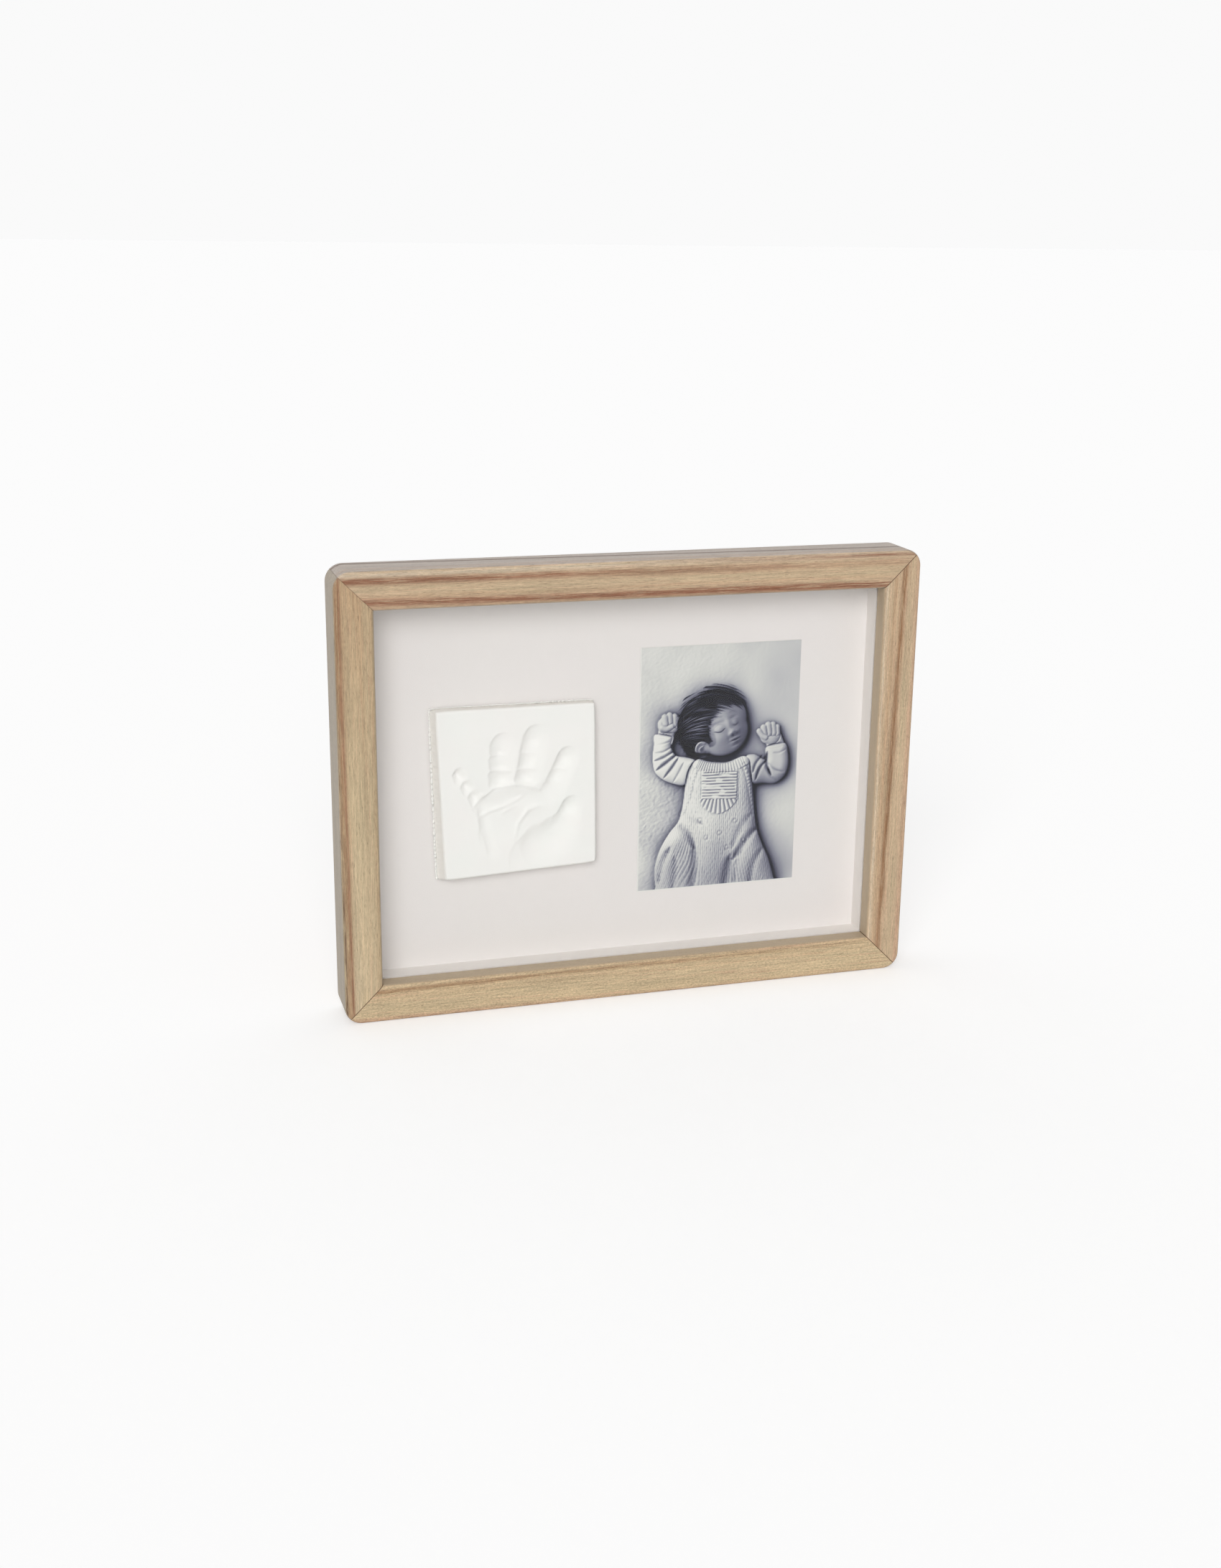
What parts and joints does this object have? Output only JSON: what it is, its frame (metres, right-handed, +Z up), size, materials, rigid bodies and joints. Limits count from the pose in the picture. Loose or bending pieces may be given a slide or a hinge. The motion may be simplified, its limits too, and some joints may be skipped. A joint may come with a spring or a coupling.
{
  "type": "baby handprint frame",
  "caption": "Deep wooden box frame holding a clay handprint tile and an upright photographic print, closed at the back by turn buttons.",
  "frame": {"origin": "centre of the whole object's box in X and Y, at the level of the bottom rail's lowest face", "axes": "+Z up, +Y to the back, so that the picture side faces -Y; +X to the viewer's right"},
  "size_m": [0.35, 0.033, 0.266],
  "materials": {
    "wood": "pale oiled, fine grain",
    "pane": "clear",
    "spacer": "matte white",
    "mount": "smooth matt",
    "clay": "air-dried, matt",
    "foam": "closed-cell foam",
    "print": "satin photographic print",
    "tape": "thin film",
    "fibreboard": "pressed fibreboard",
    "plated_steel": "zinc plated",
    "screw_steel": "yellow zinc plated"
  },
  "bodies": {
    "frame": {"top_rail": "wood", "bottom_rail": "wood", "left_stile": "wood", "right_stile": "wood", "corner_v_nails": "plated_steel", "front_pane": "pane", "spacer_top": "spacer", "spacer_bottom": "spacer", "spacer_left": "spacer", "spacer_right": "spacer", "mount_board": "mount", "clay_tile": "clay", "tile_pads": "foam", "photo_print": "print", "print_tabs": "tape", "back_panel": "fibreboard", "button_screws": "screw_steel", "sawtooth_hanger": "plated_steel", "hanger_nails": "plated_steel"},
    "button_1": {"turn_button_1": "plated_steel"},
    "button_2": {"turn_button_2": "plated_steel"},
    "button_3": {"turn_button_3": "plated_steel"},
    "button_4": {"turn_button_4": "plated_steel"},
    "button_5": {"turn_button_5": "plated_steel"},
    "button_6": {"turn_button_6": "plated_steel"}
  },
  "joints": [
    {"name": "button_1_turn", "type": "hinge", "parent": "frame", "child": "button_1", "pos_m": [-0.098, 0.0135, 0.257], "axis": [0, 1, 0], "continuous": true},
    {"name": "button_2_turn", "type": "hinge", "parent": "frame", "child": "button_2", "pos_m": [0.098, 0.0135, 0.257], "axis": [0, 1, 0], "continuous": true},
    {"name": "button_3_turn", "type": "hinge", "parent": "frame", "child": "button_3", "pos_m": [-0.098, 0.0135, 0.009], "axis": [0, 1, 0], "continuous": true},
    {"name": "button_4_turn", "type": "hinge", "parent": "frame", "child": "button_4", "pos_m": [0.098, 0.0135, 0.009], "axis": [0, 1, 0], "continuous": true},
    {"name": "button_5_turn", "type": "hinge", "parent": "frame", "child": "button_5", "pos_m": [-0.166, 0.0135, 0.133], "axis": [0, 1, 0], "continuous": true},
    {"name": "button_6_turn", "type": "hinge", "parent": "frame", "child": "button_6", "pos_m": [0.166, 0.0135, 0.133], "axis": [0, 1, 0], "continuous": true}
  ]
}
